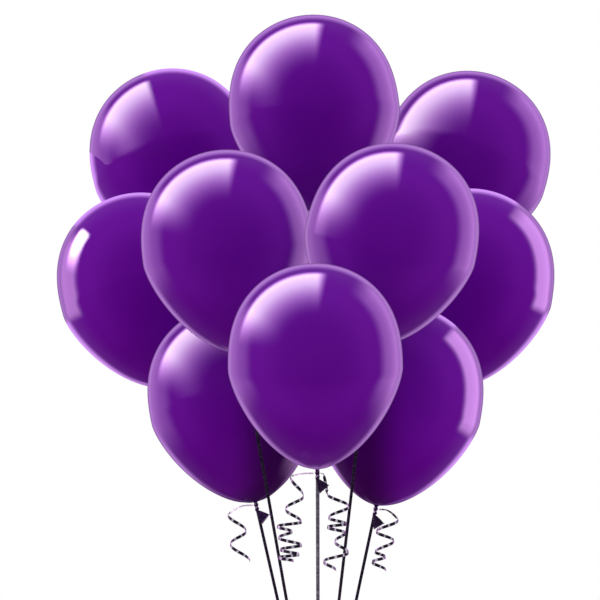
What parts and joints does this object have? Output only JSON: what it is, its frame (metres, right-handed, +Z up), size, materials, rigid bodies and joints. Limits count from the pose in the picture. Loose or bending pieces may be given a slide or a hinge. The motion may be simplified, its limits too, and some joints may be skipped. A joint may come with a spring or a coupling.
{
  "type": "latex balloon bunch",
  "caption": "Bunch of glossy purple latex balloons, each knotted and tied on a flat curling ribbon, with loose ribbon curls, all gathered at a knot over a small hand ring.",
  "frame": {"origin": "centre of the hand ring's hole, where the bunch is held", "axes": "+Z up from the ring towards the balloons, -Y towards the viewer, +X to the viewer's right"},
  "size_m": [0.819, 1.1455, 1.2875],
  "materials": {
    "latex": "glossy, slightly see-through purple latex",
    "thick_latex": "bunched latex, so darker and less glossy",
    "ribbon": "glossy crimped curling ribbon, very dark purple",
    "ring_plastic": "moulded gloss plastic"
  },
  "bodies": {
    "gathering": {"hand_ring": "ring_plastic", "gather_knot": "ribbon", "hub_ribbon": "ribbon", "rear_hub_knot": "ribbon", "mid_right_ribbon": "ribbon", "mid_right_tie": "ribbon", "low_left_ribbon": "ribbon", "low_left_tie": "ribbon", "low_right_ribbon": "ribbon", "low_right_tie": "ribbon"},
    "front_center_stem": {"front_center_ribbon": "ribbon", "front_center_tie": "ribbon"},
    "front_center": {"front_center_balloon": "latex", "front_center_knot": "thick_latex", "front_center_tail": "thick_latex"},
    "mid_left_stem": {"mid_left_ribbon": "ribbon", "mid_left_tie": "ribbon"},
    "mid_left": {"mid_left_balloon": "latex", "mid_left_knot": "thick_latex", "mid_left_tail": "thick_latex"},
    "mid_right": {"mid_right_balloon": "latex", "mid_right_knot": "thick_latex", "mid_right_tail": "thick_latex"},
    "top_center_stem": {"top_center_ribbon": "ribbon", "top_center_tie": "ribbon"},
    "top_center": {"top_center_balloon": "latex", "top_center_knot": "thick_latex", "top_center_tail": "thick_latex"},
    "upper_left_stem": {"upper_left_ribbon": "ribbon", "upper_left_tie": "ribbon"},
    "upper_left": {"upper_left_balloon": "latex", "upper_left_knot": "thick_latex", "upper_left_tail": "thick_latex"},
    "upper_right_stem": {"upper_right_ribbon": "ribbon", "upper_right_tie": "ribbon"},
    "upper_right": {"upper_right_balloon": "latex", "upper_right_knot": "thick_latex", "upper_right_tail": "thick_latex"},
    "side_left_stem": {"side_left_ribbon": "ribbon", "side_left_tie": "ribbon"},
    "side_left": {"side_left_balloon": "latex", "side_left_knot": "thick_latex", "side_left_tail": "thick_latex"},
    "side_right_stem": {"side_right_ribbon": "ribbon", "side_right_tie": "ribbon"},
    "side_right": {"side_right_balloon": "latex", "side_right_knot": "thick_latex", "side_right_tail": "thick_latex"},
    "low_left": {"low_left_balloon": "latex", "low_left_knot": "thick_latex", "low_left_tail": "thick_latex"},
    "low_right": {"low_right_balloon": "latex", "low_right_knot": "thick_latex", "low_right_tail": "thick_latex"},
    "front_left_curl": {"front_left_curl": "ribbon"},
    "front_right_curl": {"front_right_curl": "ribbon"},
    "low_left_curl": {"low_left_curl": "ribbon"},
    "low_right_curl": {"low_right_curl": "ribbon"}
  },
  "joints": [
    {"name": "front_center_sway", "type": "hinge", "parent": "gathering", "child": "front_center_stem", "pos_m": [0, -0.00375, 0.0285], "axis": [1, 0, 0], "range_deg": [0, 15], "stiffness_Nm_per_rad": 0.12, "springref_deg": -28.65},
    {"name": "front_center_swivel", "type": "hinge", "parent": "front_center_stem", "child": "front_center", "pos_m": [-0.0021, -0.27763, 0.52876], "axis": [-0.0173, -0.1392, 0.9901], "range_deg": [-40, 40]},
    {"name": "mid_left_sway", "type": "hinge", "parent": "gathering", "child": "mid_left_stem", "pos_m": [0, -0.00075, 0.0285], "axis": [0.7071, -0.7071, 0], "range_deg": [0, 8], "stiffness_Nm_per_rad": 0.14, "springref_deg": -5.73},
    {"name": "mid_left_swivel", "type": "hinge", "parent": "mid_left_stem", "child": "mid_left", "pos_m": [-0.12164, -0.02793, 0.71376], "axis": [-0.1392, 0.0175, 0.9901], "range_deg": [-40, 40]},
    {"name": "mid_right_swivel", "type": "hinge", "parent": "gathering", "child": "mid_right", "pos_m": [0.08022, -0.10537, 0.72639], "axis": [0.2071, -0.0872, 0.9744], "range_deg": [-40, 40]},
    {"name": "top_center_sway", "type": "hinge", "parent": "gathering", "child": "top_center_stem", "pos_m": [0, 0.4, 0.56], "axis": [-1, 0, 0], "range_deg": [-6, 6], "stiffness_Nm_per_rad": 0.12, "springref_deg": 4.01},
    {"name": "top_center_swivel", "type": "hinge", "parent": "top_center_stem", "child": "top_center", "pos_m": [0.01228, 0.21084, 0.94056], "axis": [-0.1029, 0.1736, 0.9794], "range_deg": [-40, 40]},
    {"name": "upper_left_sway", "type": "hinge", "parent": "gathering", "child": "upper_left_stem", "pos_m": [0, 0.4, 0.56], "axis": [0, -0.7071, -0.7071], "range_deg": [0, 10], "stiffness_Nm_per_rad": 0.1, "springref_deg": -14.32},
    {"name": "upper_left_swivel", "type": "hinge", "parent": "upper_left_stem", "child": "upper_left", "pos_m": [-0.19209, 0.4901, 0.87536], "axis": [-0.2556, 0.3746, 0.8913], "range_deg": [-40, 40]},
    {"name": "upper_right_sway", "type": "hinge", "parent": "gathering", "child": "upper_right_stem", "pos_m": [0, 0.4, 0.56], "axis": [0, 0.7071, 0.7071], "range_deg": [0, 10], "stiffness_Nm_per_rad": 0.1, "springref_deg": -14.32},
    {"name": "upper_right_swivel", "type": "hinge", "parent": "upper_right_stem", "child": "upper_right", "pos_m": [0.19189, 0.4181, 0.87194], "axis": [0.2865, 0.3746, 0.8818], "range_deg": [-40, 40]},
    {"name": "side_left_sway", "type": "hinge", "parent": "gathering", "child": "side_left_stem", "pos_m": [0, 0.4, 0.56], "axis": [0, -1, 0], "range_deg": [0, 10], "stiffness_Nm_per_rad": 0.1, "springref_deg": -17.19},
    {"name": "side_left_swivel", "type": "hinge", "parent": "side_left_stem", "child": "side_left", "pos_m": [-0.2403, 0.29354, 0.6591], "axis": [-0.2662, 0.2588, 0.9285], "range_deg": [-40, 40]},
    {"name": "side_right_sway", "type": "hinge", "parent": "gathering", "child": "side_right_stem", "pos_m": [0, 0.4, 0.56], "axis": [0, 1, 0], "range_deg": [0, 10], "stiffness_Nm_per_rad": 0.1, "springref_deg": -17.19},
    {"name": "side_right_swivel", "type": "hinge", "parent": "side_right_stem", "child": "side_right", "pos_m": [0.21648, 0.21309, 0.65826], "axis": [0.1699, 0.2079, 0.9633], "range_deg": [-40, 40]},
    {"name": "low_left_swivel", "type": "hinge", "parent": "gathering", "child": "low_left", "pos_m": [-0.10128, 0.09754, 0.47136], "axis": [-0.2008, 0.2588, 0.9448], "range_deg": [-40, 40]},
    {"name": "low_right_swivel", "type": "hinge", "parent": "gathering", "child": "low_right", "pos_m": [0.09309, 0.02937, 0.46581], "axis": [0.1901, 0.0872, 0.9779], "range_deg": [-40, 40]},
    {"name": "front_left_curl_swing", "type": "hinge", "parent": "front_center_stem", "child": "front_left_curl", "pos_m": [-0.0381, -0.27763, 0.52476], "axis": [1, 0, 0], "range_deg": [-15, 15]},
    {"name": "front_right_curl_swing", "type": "hinge", "parent": "front_center_stem", "child": "front_right_curl", "pos_m": [0.0319, -0.27763, 0.52476], "axis": [1, 0, 0], "range_deg": [-15, 15]},
    {"name": "low_left_curl_swing", "type": "hinge", "parent": "gathering", "child": "low_left_curl", "pos_m": [-0.13028, 0.09754, 0.46736], "axis": [1, 0, 0], "range_deg": [-15, 15]},
    {"name": "low_right_curl_swing", "type": "hinge", "parent": "gathering", "child": "low_right_curl", "pos_m": [0.11409, 0.02937, 0.46181], "axis": [1, 0, 0], "range_deg": [-15, 15]}
  ]
}
